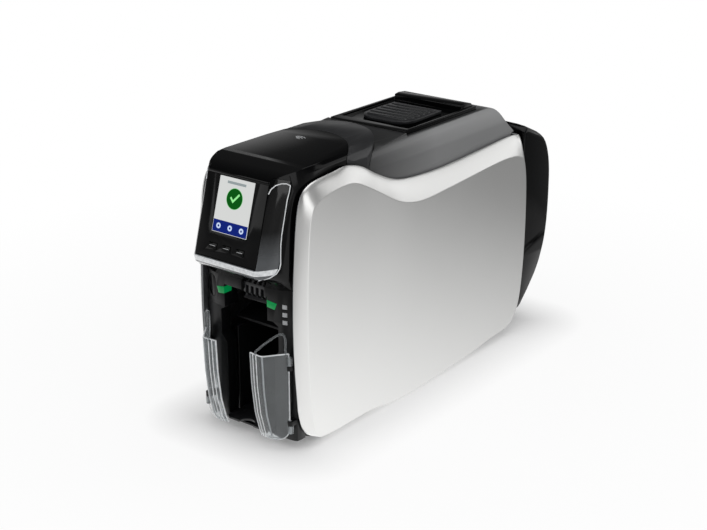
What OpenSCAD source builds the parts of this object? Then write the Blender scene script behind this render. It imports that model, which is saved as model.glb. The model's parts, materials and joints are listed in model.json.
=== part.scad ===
// Desktop card printer: silver side panels, a black front with a small colour screen,
// two clear hopper doors and a hinged top cover that carries the print head.
// Millimetres. +X is right seen from the front, -Y is the front, +Z is up.
// The origin is on the floor, under the middle of the case.

/* [Side panels] */
// Half width of the case at the rim of a side panel
rim_x = 59.2; // [58.8:0.2:60]
// How far a panel's face stands out past its rim
face_out = 9.6; // [6:0.2:12]
// Extra swell of the face towards the front
swell_out = 2.8; // [0:0.2:4]
// Wall thickness of a silver panel
panel_wall = 2.4; // [1.8:0.2:3]

/* [Frame] */
// Thickness of the two upright frame plates
frame_t = 1.5; // [1.2:0.1:1.5]
// Height of the rubber feet
foot_h = 6; // [4:0.5:8]
// Radius of a rubber foot
foot_r = 9; // [6:0.5:11]

/* [Front] */
// Lean of the screen from upright, in degrees
screen_lean = 16.4; // [14:0.2:18]
// Width of the lit screen area
screen_w = 43.2; // [40:0.2:46]
// Height of the lit screen area
screen_h = 52.8; // [50:0.2:54]
// Thickness of the clear screen surround
surround_t = 2.2; // [1.8:0.1:2.6]

/* [Cards and hopper] */
// Width of a card
card_w = 54; // [53.9:0.1:54.1]
// Length of a card
card_l = 85.6; // [85.4:0.1:85.8]
// Wall thickness of a clear hopper door
door_wall = 2; // [1.6:0.1:2.4]

/* [Drive] */
// Height of the card path above the floor
path_z = 127.7; // [127:0.1:128]
// Radius of the driven card rollers
roller_r = 7.2; // [7:0.05:7.3]
// Radius of a roller shaft
shaft_r = 3; // [2.5:0.1:3.5]
// Gap between a turning shaft and its bore
bore_gap = 0.05; // [0.02:0.01:0.09]

/* [Top cover] */
// Height of the cover's glossy deck above the floor
deck_z = 279.5; // [279:0.5:280]
// Half width of the deck
deck_x = 50; // [48:0.5:52]
// Wall thickness of the black covers
cover_wall = 2.4; // [2:0.1:2.8]

/* [Hidden] */
$fn = 48;

// Steps per control point of a drawn outline
steps = 3;
// Clear gap between bodies that slide past each other
gap = 0.3;
// Half width of the black inner case, between the frame plates
case_x = rim_x - frame_t - gap;
// Inner face of a frame plate
frame_in = rim_x - frame_t;

// Side outlines (y, z), clockwise from the front foot: the panel's rim and its flat face
rim_pts = [
  [-203, 34], [-206, 60], [-209, 100], [-209.5, 146], [-206.5, 205], [-200, 250], [-186, 266.5],
  [-149, 271], [-128, 272], [-105, 265.5], [-82, 253], [-52, 240], [-20, 234.5], [35, 232.5],
  [112, 235], [153, 236.5], [176, 235], [184, 227], [185, 170], [185.3, 110], [181, 58],
  [173.5, 27], [157, 12], [116, 8.6], [58, 4], [-50, 1.2], [-102, 5], [-170, 6], [-193, 14]];
face_pts = [
  [-194, 38], [-197, 62], [-199, 100], [-199.5, 146], [-197.5, 200], [-193, 237], [-181, 252],
  [-150, 257.5], [-127, 256], [-107, 247], [-85, 235], [-55, 219], [-20, 211.5], [32, 213],
  [110, 217], [148, 217], [170, 212.5], [180, 202], [184.8, 168], [185.6, 110], [181.8, 58],
  [174, 29], [157, 14], [116, 10.2], [58, 5.3], [-50, 2], [-102, 6.6], [-168, 7.3], [-188, 13.5]];
face_mid = [-20, 110];

function spline_at(a, b, c, d, t) =
  0.5 * (2 * b + (c - a) * t + (2 * a - 5 * b + 4 * c - d) * t * t
  + (3 * b - a - 3 * c + d) * t * t * t);
function loop_spline(p, n) = let (m = len(p)) [for (i = [0:m - 1]) for (k = [0:n - 1])
  spline_at(p[(i + m - 1) % m], p[i], p[(i + 1) % m], p[(i + 2) % m], k / n)];
function open_spline(p, n) = let (m = len(p)) concat([for (i = [0:m - 2]) for (k = [0:n - 1])
  spline_at(p[max(i - 1, 0)], p[i], p[i + 1], p[min(i + 2, m - 1)], k / n)], [p[m - 1]]);
// Moves a clockwise outline inwards
function inset(p, d) = let (m = len(p)) [for (i = [0:m - 1])
  let (t = p[(i + 1) % m] - p[(i + m - 1) % m]) p[i] + d * [t[1], -t[0]] / norm(t)];

rim = loop_spline(rim_pts, steps);
face = loop_spline(face_pts, steps);

function ring_centre(r) = [for (k = [0:2]) [for (p = r) p[k]] * [for (p = r) 1] / len(r)];
// A closed skin over rings of equal length, with a fan of faces at each end
module skin(rings) {
  m = len(rings[0]);
  last = len(rings) - 1;
  points = concat([for (r = rings) for (p = r) p], [ring_centre(rings[0]), ring_centre(rings[last])]);
  count = m * (last + 1);
  sides = [for (j = [0:last - 1]) for (i = [0:m - 1]) let (n = (i + 1) % m) each
    [[j * m + i, j * m + n, (j + 1) * m + i], [j * m + n, (j + 1) * m + n, (j + 1) * m + i]]];
  start = [for (i = [0:m - 1]) [count, (i + 1) % m, i]];
  end = [for (i = [0:m - 1]) [count + 1, last * m + i, last * m + (i + 1) % m]];
  polyhedron(points = points, faces = concat(sides, start, end), convexity = 6);
}

// Draws a (y, z) outline and gives it width along X
module side_slab(points, x0, x1)
  translate([x0, 0, 0]) rotate([90, 0, 90]) linear_extrude(x1 - x0) polygon(points);
// Draws an (x, z) outline and gives it depth along Y
module front_slab(points, y0, y1)
  translate([0, y1, 0]) rotate([90, 0, 0]) linear_extrude(y1 - y0) polygon(points);
// A round bar along X, centred on (y, z)
module bar_x(x0, x1, r, y, z) translate([x0, y, z]) rotate([0, 90, 0]) cylinder(h = x1 - x0, r = r);
// Puts the middle of the whole case on y = 0
case_mid = 5.5;
module centred() translate([0, -case_mid, 0]) children();
module mirrored() {
  children();
  mirror([1, 0, 0]) children();
}
function mirror_x(p) = concat(p, [for (i = [len(p) - 1:-1:0]) if (abs(p[i][0]) > 0.001) [-p[i][0], p[i][1]]]);

// ---- Case ----

floor_z = foot_h;
foot_spots = [for (x = [-42, 42]) for (y = [-168, 132]) [x, y]];
screw_spots = [for (x = [-50, 50]) for (y = [-150, 0, 140]) [x, y]];

module rubber_feet() color("#26282a") centred()
  for (s = foot_spots) translate([s[0], s[1], 0]) {
    cylinder(h = foot_h - 1.5, r = foot_r);
    translate([0, 0, foot_h - 1.5]) cylinder(h = 1.5, r = foot_r - 1.5);
  }

module base_screws() color("#9a9da0") centred()
  for (s = screw_spots) translate([s[0], s[1], floor_z + 0.1]) {
    cylinder(h = 1.7, r = 2.8);
    cylinder(h = 8, r = 1.45);
  }

module base_tray() color("#1d1f21") centred() difference() {
  union() {
    translate([-case_x, -180, floor_z]) cube([2 * case_x, 332, 3]);
    mirrored() translate([case_x - 2, -178, floor_z]) cube([2, 324, 10]);
    for (s = screw_spots) translate([s[0], s[1], floor_z]) cylinder(h = 9, r = 4.2);
  }
  for (s = screw_spots) translate([s[0], s[1], floor_z - 1]) {
    cylinder(h = 3, r = 2.9);
    cylinder(h = 11, r = 1.5);
  }
}

// Middles of the shafts that pass through both frame plates: [y, z]
roller_z = path_z - roller_r;
pick_y = -148; pick_r = 8; pick_z = 116.2;
eject_y = -112;
feed_y = -14;
clean_y = 8; clean_r = 6; clean_z = path_z + 0.9 + clean_r;
platen_y = 40;
exit_y = 92;
guide_y = -28; guide_z = path_z - 4.6;
supply_y = -28; takeup_y = 88; spool_z = 178;
hinge_y = 176; hinge_z = 234; hinge_r = 2.5;
latch_y = -38; latch_z = 222; latch_r = 2;
shaft_spots = [[pick_y, pick_z], [eject_y, roller_z], [feed_y, roller_z], [clean_y, clean_z],
  [platen_y, roller_z], [exit_y, roller_z], [supply_y, spool_z], [takeup_y, spool_z],
  [guide_y, guide_z]];

module frame_plate() difference() {
  side_slab(inset(rim, 1), frame_in, rim_x);
  for (s = shaft_spots) bar_x(frame_in - 1, rim_x + 1, shaft_r + bore_gap, s[0], s[1]);
  bar_x(frame_in - 1, rim_x + 1, hinge_r + bore_gap, hinge_y, hinge_z);
  bar_x(frame_in - 1, rim_x + 1, latch_r + bore_gap, latch_y, latch_z);
}
module inner_frame_right() color("#2b2d30") centred() frame_plate();
module inner_frame_left() color("#2b2d30") centred() mirror([1, 0, 0]) frame_plate();

// Half width of the panel's face at a given y
// The face steps out gently behind its front third and comes back a little towards the rear
function eased(t) = let (c = min(1, max(0, t))) c * c * (3 - 2 * c);
function face_x(y) = rim_x + face_out + swell_out * eased((y + 125) / 95) - eased((y + 30) / 215);
bevel_steps = [0.2, 0.5, 0.78, 0.94, 1];
function face_ring(s, w) = let (f = inset(face, w)) [for (p = f)
  let (q = face_mid + s * (p - face_mid)) [face_x(q[0]) - w, q[0], q[1]]];
function bevel_ring(t, w) = let (r = inset(rim, w), f = inset(face, w)) [for (i = [0:len(rim) - 1])
  let (q = f[i] + t * (r[i] - f[i]), top = face_x(q[0]) - w) [rim_x + pow(1 - t, 0.7) * (top - rim_x), q[0], q[1]]];
module panel() skin(concat(
  [for (s = [0.3, 0.65, 1]) face_ring(s, 0)],
  [for (t = bevel_steps) bevel_ring(t, 0)],
  [for (i = [len(bevel_steps) - 1:-1:0]) bevel_ring(bevel_steps[i], panel_wall)],
  [for (s = [1, 0.65, 0.3]) face_ring(s, panel_wall)]));
module side_panel_right() color("#c9cacb") centred() panel();
module side_panel_left() color("#c9cacb") centred() mirror([1, 0, 0]) panel();

// ---- Front housing round the card opening ----

housing_top = 166.4;
housing_step = 132;
corner_y = -198;
// Rounded plan line of the front, from the left corner to the right one
function front_plan(x_half, y_front, y_corner, p) = [for (i = [-10:10])
  let (x = x_half * sin(i * 9), c = pow(max(0, 1 - pow(abs(x) / x_half, p)), 1 / p))
  [x, y_corner + (y_front - y_corner) * c]];
module housing_block(y_front, z0, z1, p) translate([0, 0, z0]) linear_extrude(z1 - z0)
  polygon(concat(front_plan(case_x, y_front, corner_y, p), [[case_x, -192], [-case_x, -192]]));
opening_side = [[27.5, 156], [27.5, 131.5], [37, 126], [37, 100], [30, 92], [30, floor_z + 5]];
housing_y = -211.5;
door_pin = [54, -210];
lug_spots = [[28.3, 33], [87, 91.7]];
button_mid = [-46, 150];

// An upright oval, two discs and the bar between them, drawn along Y
module oval_along_y(x, z, y0, y1, r) translate([x, y1, z]) rotate([90, 0, 0])
  linear_extrude(y1 - y0) {
    for (s = [-1, 1]) translate([0, s * 5]) circle(r);
    translate([-r, -5]) square([2 * r, 10]);
  }
module lens_shape(grow) mirrored() front_slab(
  [[27.4 - grow, 153 + grow], [38.4 + grow, 151 + grow], [36 + grow, 144.5 - grow], [27.4 - grow, 146 - grow]],
  -225, -200 + grow);
mark_rows = [149, 141, 133];

module front_housing() color("#232527") centred() difference() {
  union() {
    housing_block(housing_y, housing_step, housing_top, 2.4);
    housing_block(-206, floor_z + 3, housing_step, 5);
    mirrored() for (s = lug_spots) translate([door_pin[0], door_pin[1], s[0]]) {
      cylinder(h = s[1] - s[0], r = 3);
      translate([-3, 0, 0]) cube([6, 10, s[1] - s[0]]);
    }
  }
  front_slab(mirror_x(opening_side), -240, -180);
  mirrored() translate([door_pin[0], door_pin[1], 0]) cylinder(h = 130, r = 1.27);
  oval_along_y(button_mid[0], button_mid[1], -230, -198.5, 6.4);
  lens_shape(0.1);
  for (z = mark_rows) translate([46, -205.4, z]) rotate([0, 0, 20]) cube([5.2, 5, 4.6], center = true);
  // The card slot guide hangs in this notch
  translate([-4, -226, 147]) cube([28.2, 31, 30]);
}

module power_button() color("#141516") centred() intersection() {
  oval_along_y(button_mid[0], button_mid[1], -222, -200.5, 6);
  translate([0, 0, 100]) linear_extrude(100)
    polygon(concat(front_plan(case_x, housing_y + 0.5, corner_y, 2.4), [[case_x, -192], [-case_x, -192]]));
}
module indicator(side) color("#2fbf6b") centred() intersection() {
  lens_shape(0);
  translate([0, 0, 100]) linear_extrude(100)
    polygon(concat(front_plan(case_x, housing_y - 0.4, corner_y, 2.4), [[case_x, -192], [-case_x, -192]]));
  translate([side > 0 ? 0 : -80, -240, 100]) cube([80, 80, 100]);
}
module indicator_left() indicator(-1);
module indicator_right() indicator(1);
module status_marks() color("#e8eaea") centred() intersection() {
  for (z = mark_rows) translate([46, -205.4, z]) rotate([0, 0, 20]) cube([5, 4.8, 4.4], center = true);
  translate([0, 0, 100]) linear_extrude(100)
    polygon(concat(front_plan(case_x, housing_y - 0.2, corner_y, 2.4), [[case_x, -192], [-case_x, -192]]));
}
module card_slot_guide() color("#5c6163") centred() difference() {
  translate([-4, -208, 147.2]) cube([28, 13, 18.8]);
  for (i = [0:3]) translate([-1.5 + i * 6.4, -210, 150]) cube([3.8, 8, 11]);
  translate([-5, -208.5, 147]) rotate([45, 0, 0]) cube([34, 5, 5]);
}

// ---- Front hood and screen ----

hood_low = housing_top + 0.4;
// Front of the hood (z, y): under the chin, the chin, and the leaning face
hood_front = [[hood_low, -213], [176, -219], [181, -231.6], [186, -238], [191, -239.5],
  [196, -237.8], [262, -218.4], [290, -210.2]];
hood_levels = [hood_low, 176, 181, 186, 191, 196, 229, 262, 290];
// Half width of the flat part of the front, and where its rounded corner meets the side (z, y)
hood_flat = 37;
hood_corner = [[166, -200], [196, -194], [262, -182], [290, -150]];
function hood_side(z, g) = let (back = lookup(z, hood_corner), front = lookup(z, hood_front) + g)
  [for (i = [0:9]) let (s = sin(10 * i), c = pow(max(0, 1 - pow(s, 1.4)), 1 / 1.4))
    [hood_flat + (case_x - g - hood_flat) * s, back + (front - back) * c]];
module hood_level(z, g) translate([0, 0, z]) linear_extrude(0.01)
  polygon(mirror_x(concat([[case_x - g, -80]], [for (i = [9:-1:0]) hood_side(z, g)[i]])));
module hood_block(g) for (i = [0:len(hood_levels) - 2]) hull() {
  hood_level(hood_levels[i], g);
  hood_level(hood_levels[i + 1], g);
}

// Top of the hood (y, z) and its arched cross-section (x, z)
hood_roof = open_spline([[-217, 270], [-214, 273.5], [-206, 277], [-194, 279.3], [-168, 282.3],
  [-110, 285.3], [-60, 286.5]], 4);
roof_arch = [[0, 290], [20, 289.6], [34, 287.6], [51, 281.4], [54, 275], [56, 266], [57.4, 250]];
module hood_roof_cut(g) intersection() {
  side_slab([for (p = concat([[-250, 100], [-250, 270]], hood_roof, [[-60, 100]])) p - [0, g]], -70, 70);
  front_slab([for (p = mirror_x(concat(roof_arch, [[57.4, 100]]))) [p[0], p[1] - g]], -260, -40);
}
collar_in = [0, -146, 59.3];
collar_out = [0, -102, 57];
module hood_rear_cut(g) {
  translate([0, collar_in[1], 0]) cylinder(h = 400, r = collar_in[2] - gap - g, $fn = 72);
  translate([-80, -260, 0]) cube([160, 260 + collar_in[1], 400]);
}
module hood_shape(g) intersection() {
  hood_block(g);
  hood_roof_cut(g);
  hood_rear_cut(g);
}

glass_x = 37.8;
glass_h = 79;
module on_screen() translate([0, -237.6, 196]) rotate([-screen_lean, 0, 0]) children();
// Region wrapped by the clear surround: both corners and the chin
surround_line = [[-12, -13], [9, -13], [17, -3], [19, 7], [15, 34], [14, 67], [15.5, 84], [-12, 84]];
module surround_zone(g) on_screen() difference() {
  side_slab([for (p = surround_line) [p[0] + (p[0] > 0 ? g : 0), p[1] + (p[1] > 60 ? g : -g)]], -60, 60);
  translate([-glass_x - 0.6 + g, -20, -3 + g]) cube([2 * (glass_x + 0.6 - g), 40, 100]);
}
module front_hood() color("#101214") centred() difference() {
  hood_shape(0);
  // Hollow for the electronics
  difference() {
    hood_shape(cover_wall + 4);
    translate([-80, -250, 0]) cube([160, 400, hood_low + 3]);
  }
  translate([-49, -190, 100]) cube([98, 130, 110]);
  // Pocket for the glass and the screen
  on_screen() translate([-glass_x - 0.3, -12, -2.2]) cube([2 * glass_x + 0.6, 14.7, glass_h + 0.4]);
  on_screen() translate([-32, 0, 2]) cube([64, 20, 73.5]);
  // Room behind the clear surround
  intersection() {
    surround_zone(0.3);
    difference() {
      translate([-70, -260, 100]) cube([140, 200, 200]);
      hood_block(surround_t + 1.6);
    }
  }
}
module display_surround() color([0.55, 0.6, 0.62, 0.5]) centred() intersection() {
  difference() {
    hood_block(0);
    hood_block(surround_t);
  }
  surround_zone(0);
  hood_roof_cut(0.2);
}
key_x = [-17, 0, 17];
key_up = 9.5;
module display_glass() color("#08090a") centred() on_screen() difference() {
  translate([-glass_x, 0, -2]) cube([2 * glass_x, 2.4, glass_h]);
  translate([-screen_w / 2 - 0.2, -1, 22.8]) cube([screen_w + 0.4, 5, screen_h + 0.4]);
  for (x = key_x) translate([x - 5.3, -1, key_up - 2.8]) cube([10.6, 5, 5.6]);
}
module display_screen() color("#dfe6ea") centred() on_screen()
  translate([-screen_w / 2, 0.15, 23]) cube([screen_w, 3, screen_h]);
module key(x) color("#2c2f31") centred() on_screen() translate([x - 5, -0.6, key_up - 2.5]) cube([10, 3.4, 5]);
module key_left() key(key_x[0]);
module key_middle() key(key_x[1]);
module key_right() key(key_x[2]);
module display_board() color("#1f5a3a") centred() on_screen() {
  translate([-31, 5, 3]) cube([62, 1.6, 66]);
  for (x = key_x) translate([x - 2.5, 4.2, key_up - 2.5]) cube([5, 0.8, 5]);
  translate([-10, 6.6, 30]) cube([20, 3, 20]);
}

// ---- Hopper ----

// Three corners of a door seen from above, at height z: lip end, front corner and rear edge
door_levels = [11, 13, 16, 20, 26, 40, 56, 80, 104];
door_front_y = [[11, -217.5], [20, -221], [40, -226.5], [69, -230.2], [109, -231.8]];
door_corner_x = [[11, 34], [16, 37.5]];
door_edge = 53.4;
// How much the rear edge is cut back where the door's lower corner is rounded
door_round = [[11, 0.35], [13, 0.6], [16, 0.82], [20, 0.95], [26, 1]];
function door_line(z) = let (front = [lookup(z, door_corner_x), lookup(z, door_front_y)], edge = [door_edge, -210.7])
  [[22.5, front[1] + 1.4], front, front + lookup(z, door_round) * (edge - front)];
function wall_quad(a, b) = let (d = door_wall / 2 * (b - a) / norm(b - a), n = [-d[1], d[0]])
  [a - d + n, a - d - n, b + d - n, b + d + n];
// One wall of a door as a skin from its top level down; k picks the lip or the side wall
module door_side(k) skin([for (i = [len(door_levels) - 1:-1:0]) let (z = door_levels[i], line = door_line(z))
  [for (p = wall_quad(line[k], line[k + 1])) [p[0], p[1], z]]]);
// Clear stay that rises from the lip and meets a post at the rear of the side wall
stay_line = [[30, -231.8, 101], [30, -231.3, 106], [34, -226.8, 111.2], [38, -222.5, 115.5],
  [42, -218.3, 119.4], [46, -214.8, 122.4], [49.2, -213, 122.6], [51.4, -212.8, 119], [51.6, -212.7, 100.5]];
module door_part() difference() {
  union() {
    door_side(0);
    door_side(1);
    for (i = [0:len(stay_line) - 2]) hull() for (p = [stay_line[i], stay_line[i + 1]])
      translate(p) cylinder(h = 2.6, r = 1.2, $fn = 12);
    for (z = [20, 92]) translate([door_pin[0], door_pin[1], z]) {
      cylinder(h = 8, r = 3);
    }
  }
  // Room for the housing's lugs between the knuckles
  for (s = lug_spots) translate([door_pin[0], door_pin[1], s[0] - 0.3]) cylinder(h = s[1] - s[0] + 0.6, r = 3.4);
  translate([door_pin[0], door_pin[1], 0]) cylinder(h = 130, r = 1.25 + 0.08);
}
module hopper_door_right() color([0.75, 0.8, 0.82, 0.5]) centred() door_part();
module hopper_door_left() color([0.75, 0.8, 0.82, 0.5]) centred() mirror([1, 0, 0]) door_part();
module hopper_door_pins() color("#8c9093") centred() mirrored()
  for (z = [19.5, 86.5]) translate([door_pin[0], door_pin[1], z]) cylinder(h = 14.5, r = 1.25);

hopper_x = card_w / 2 + 0.8;
hopper_front = -191.7;
plate_front = -215;
hopper_back = plate_front + card_l + 1.9;
hopper_top = 105;
module card_hopper() color("#17191a") centred() difference() {
  union() {
    translate([-hopper_x - 2, hopper_front, floor_z + 3]) cube([2 * hopper_x + 4, hopper_back - hopper_front, 2]);
    mirrored() translate([hopper_x, hopper_front, floor_z + 3]) cube([2, hopper_back - hopper_front, hopper_top - floor_z - 3]);
    translate([-hopper_x - 2, hopper_back - 2, floor_z + 3]) cube([2 * hopper_x + 4, 2, hopper_top - floor_z - 3]);
  }
  translate([-6.5, hopper_back - 4, floor_z + 7]) cube([13, 8, hopper_top]);
}
module card_lift_plate() color("#3b4043") centred() difference() {
  union() {
    translate([-hopper_x + 0.6, plate_front + 6, floor_z + 8]) cube([2 * hopper_x - 1.2, card_l - 6.7, 2.5]);
    mirrored() translate([hopper_x - 6.6, plate_front + 6, floor_z + 8]) cylinder(h = 2.5, r = 6);
    translate([-hopper_x + 6.6, plate_front, floor_z + 8]) cube([2 * hopper_x - 13.2, 8, 2.5]);
    // Tab through the slot in the back wall, with the lifting block behind it
    translate([-5.5, hopper_back - 5, floor_z + 8]) cube([11, 10, 2.5]);
    translate([-9, hopper_back + 3, floor_z + 8]) cube([18, 4, 14]);
  }
  // Thumb notch at the front edge
  translate([0, plate_front, floor_z]) cylinder(h = 20, r = 9);
}
module output_tray() color("#17191a") centred() side_slab([[-191.5, 117], [-160.5, 125.6], [-158.6, 125.6],
  [-158.6, hopper_top], [-160.6, hopper_top], [-160.6, 123], [-191.5, 114.6]], -hopper_x - 2, hopper_x + 2);

// ---- Collar and top cover ----

module arch_slab(z_top, t) difference() {
  front_slab(concat(mirror_x([[0, z_top], [30, z_top - 0.9], [45, z_top - 3.5], [52, z_top - 8],
    [56, z_top - 14.5], [case_x, z_top - 20], [case_x, 244]])), -150, -40);
  front_slab(concat(mirror_x([[0, z_top - t], [30, z_top - t - 0.9], [44, z_top - t - 3.5],
    [50, z_top - t - 8], [53.5, z_top - t - 14.5], [case_x - 2.4, z_top - t - 20],
    [case_x - 2.4, 240]])), -160, -30);
}
module cover_collar() color("#3f4446") centred() intersection() {
  arch_slab(286.5, 4);
  difference() {
    translate([0, collar_out[1], 200]) cylinder(h = 100, r = collar_out[2], $fn = 96);
    translate([0, collar_in[1], 190]) cylinder(h = 120, r = collar_in[2], $fn = 96);
  }
}

// Side line of the cover (y, z): its lower edge stays just above the silver rims
cover_top = open_spline([[-104, 270], [-80, 273], [-45, 276.2], [-20.3, 278.4]], 3);
// Beside and behind the deck the cover is lower, so that the deck stands proud
shoulder_z = deck_z - 4.2;
cover_back = open_spline([[112, shoulder_z], [134, 273.2], [147, 265.5], [160, 252], [174, 239.5], [180, 233]], 3);
cover_low = open_spline([[180, 229], [166, 233.5], [140, 234.5], [112, 233.5], [35, 231], [-20, 233],
  [-52, 239], [-82, 252], [-104, 264.5]], 3);
cover_sides = [[case_x, 200], [case_x, 241], [56.4, 254], [54.6, 266], [52, 274.5], [deck_x, 279.5], [deck_x - 2, 284]];
module cover_solid(g) intersection() {
  side_slab(concat([for (p = concat(cover_top, [[-20.2, shoulder_z]], cover_back)) p - [0, g]], [for (p = cover_low) p - [0, g * 3]]), -80, 80);
  front_slab([for (p = mirror_x(cover_sides)) [p[0] - sign(p[0]) * g, p[1] - g]], -120, 190);
}
tray_x = 44;
tray_y0 = -8; tray_y1 = 88;
knuckle_x = [[-50, -38], [38, 50]];
module top_cover() color("#2a2d30") centred() difference() {
  union() {
    difference() {
      cover_solid(0);
      cover_solid(cover_wall);
      translate([0, collar_out[1], 0]) cylinder(h = 400, r = collar_out[2] + gap, $fn = 96);
      // Seat for the glossy deck
      translate([-deck_x + 2, -20, deck_z - 6]) cube([2 * deck_x - 4, 131.6, 20]);
      mirrored() translate([51, hinge_y - 8, hinge_z - 20]) cube([10, 20, 25]);
    }
    // Floor under the deck, the fork that carries the latch hook, and the hinge knuckles
    translate([-deck_x - 1.2, -24, deck_z - 7.7]) cube([2 * deck_x + 2.4, 146, 2]);
    for (w = [[-22.5, 4], [111.8, 1.8]]) translate([-deck_x - 1, w[0], deck_z - 6]) cube([2 * deck_x + 2, 2.2, w[1]]);
    mirrored() translate([9.4, hook_y - 4, hook_z - 4]) cube([4, 8, 28]);
    bar_x(-13, 13, 2, hook_y, hook_z);
    for (k = knuckle_x) {
      bar_x(k[0], k[1], 5, hinge_y, hinge_z);
      translate([k[0], hinge_y - 12, hinge_z - 1]) cube([k[1] - k[0], 12, 6]);
    }
  }
  bar_x(-70, 70, hinge_r + 0.08, hinge_y, hinge_z);
  translate([-12.3, 26, deck_z - 10]) cube([24.6, 38, 9]);
}
module cover_deck() color("#0c0d0f") centred() difference() {
  union() {
    translate([-deck_x + 2.3, -19.7, deck_z - 5.7]) cube([2 * deck_x - 4.6, 131, 5.7]);
    // Raised ridge behind the release plate, which lifts it clear of a tall thumb
    side_slab([[82, deck_z - 1], [89, deck_z + 3.8], [95, deck_z + 4.6], [107, deck_z + 3.2], [111, deck_z - 1]], -44, 44);
  }
  // Tray for the release plate
  translate([-tray_x, tray_y0, deck_z - 3.2]) cube([2 * tray_x, tray_y1 - tray_y0, 10]);
  translate([-12.3, 26, deck_z - 10]) cube([24.6, 38, 20]);
}
plate_x = 31;
plate_y0 = 4; plate_y1 = 70;
plate_r = 18;
rib_pitch = 9.5;
function rib_half(y) = plate_x - plate_r - 4 + sqrt(pow(plate_r, 2) - pow(max(0, plate_y0 + plate_r - y), 2));
module cover_release() color("#3a3e42") centred() {
  translate([-plate_x, plate_y0 + plate_r, deck_z - 2.9])
    cube([2 * plate_x, plate_y1 - plate_y0 - plate_r, 3.4]);
  translate([-plate_x + plate_r, plate_y0, deck_z - 2.9]) cube([2 * (plate_x - plate_r), plate_r + 5, 3.4]);
  mirrored() translate([plate_x - plate_r, plate_y0 + plate_r, deck_z - 2.9]) cylinder(h = 3.4, r = plate_r);
  for (i = [0:5]) let (y = plate_y0 + 8 + i * rib_pitch)
    translate([-rib_half(y), y, deck_z]) cube([2 * rib_half(y), 5.6, 1.8]);
  translate([-12, 30, deck_z - 7]) cube([24, 22, 5]);
}
hook_y = -30; hook_z = 252;
module latch_hook() color("#8f9396") centred() difference() {
  union() {
    bar_x(-9, 9, 4, hook_y, hook_z);
    for (x = [-9, 6]) translate([x, hook_y - 3, latch_z - 5]) cube([3, 6, hook_z - latch_z + 5]);
    // Short noses that stop just behind the latch bar
    for (x = [-9, 6]) translate([x, latch_y + latch_r + 1.4, latch_z - 7]) cube([3, 5, 6]);
  }
  bar_x(-20, 20, 2.08, hook_y, hook_z);
}
module latch_bar() color("#b4b8ba") centred() bar_x(-rim_x, rim_x, latch_r, latch_y, latch_z);
module cover_hinge_pin() color("#b4b8ba") centred() bar_x(-rim_x, rim_x, hinge_r, hinge_y, hinge_z);

head_y = platen_y;
module printhead_bracket() color("#7d8285") centred() {
  translate([-34, head_y - 10, path_z + 16]) cube([68, 20, 4]);
  mirrored() translate([30, head_y - 10, path_z + 20]) cube([4, 20, deck_z - 7.7 - path_z - 20]);
  translate([-34, head_y + 6, path_z + 20]) cube([68, 4, 60]);
}
module printhead() color("#c8b27a") centred() {
  translate([-card_w / 2, head_y - 8, path_z + 5]) cube([card_w, 16, 11]);
  translate([-card_w / 2, head_y - 2.5, path_z + 1.1]) cube([card_w, 5, 4]);
}

// ---- Card drive ----

belt_x = [-52, -46];
motor_belt_x = [-43, -37];
pulley_r = 8;
belt_t = 1.2;
module pulley(x, y, z) {
  bar_x(x[0], x[1], pulley_r, y, z);
  bar_x(x[0] - 0.9, x[0], pulley_r + 2.2, y, z);
  bar_x(x[1], x[1] + 0.9, pulley_r + 2.2, y, z);
}
module shaft(y, z) bar_x(-rim_x + 0.2, rim_x - 0.2, shaft_r, y, z);
module drive_roller(y) {
  shaft(y, roller_z);
  bar_x(-28, 28, roller_r, y, roller_z);
  pulley(belt_x, y, roller_z);
}
module pick_roller() color("#4a4e50") centred() {
  shaft(pick_y, pick_z);
  bar_x(-12, 12, pick_r, pick_y, pick_z);
  bar_x(44, 50, 12, pick_y, pick_z);
}
module eject_roller() color("#4a4e50") centred() drive_roller(eject_y);
module feed_roller() color("#4a4e50") centred() {
  drive_roller(feed_y);
  pulley(motor_belt_x, feed_y, roller_z);
}
module platen_roller() color("#2e3133") centred() drive_roller(platen_y);
module exit_roller() color("#4a4e50") centred() drive_roller(exit_y);
module cleaning_roller() color("#3d78c9") centred() {
  shaft(clean_y, clean_z);
  bar_x(-27, 27, clean_r, clean_y, clean_z);
}
// A belt round two equal pulleys, l apart along its own first axis
module belt(l, w) linear_extrude(w) difference() {
  union() {
    circle(pulley_r + 0.08 + belt_t);
    translate([l, 0]) circle(pulley_r + 0.08 + belt_t);
    translate([0, -pulley_r - 0.08 - belt_t]) square([l, 2 * (pulley_r + 0.08 + belt_t)]);
  }
  circle(pulley_r + 0.08);
  translate([l, 0]) circle(pulley_r + 0.08);
  translate([0, -pulley_r - 0.08]) square([l, 2 * (pulley_r + 0.08)]);
}
module feed_belt() color("#202224") centred() translate([belt_x[0] + 0.3, eject_y, roller_z]) rotate([90, 0, 90])
  belt(exit_y - eject_y, belt_x[1] - belt_x[0] - 0.6);
motor_y = -40; motor_z = 66;
motor_gap = norm([feed_y - motor_y, roller_z - motor_z]);
motor_turn = atan2(roller_z - motor_z, feed_y - motor_y);
module motor_belt() color("#202224") centred() translate([motor_belt_x[0] + 0.3, motor_y, motor_z]) rotate([90, 0, 90])
  rotate(motor_turn) belt(motor_gap, motor_belt_x[1] - motor_belt_x[0] - 0.6);
module motor_pulley() color("#c0c4c6") centred() {
  pulley(motor_belt_x, motor_y, motor_z);
  bar_x(-45, -20, 2.5, motor_y, motor_z);
}
module feed_motor() color("#6f7477") centred() difference() {
  union() {
    bar_x(-33, 4, 17.5, motor_y, motor_z);
    bar_x(4, 8, 8, motor_y, motor_z);
    translate([-35, motor_y - 21, floor_z + 3]) cube([2.2, 42, 80]);
    translate([-35, motor_y - 21, floor_z + 3]) cube([20, 42, 2.2]);
  }
  bar_x(-40, -19, 2.55, motor_y, motor_z);
}
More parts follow.
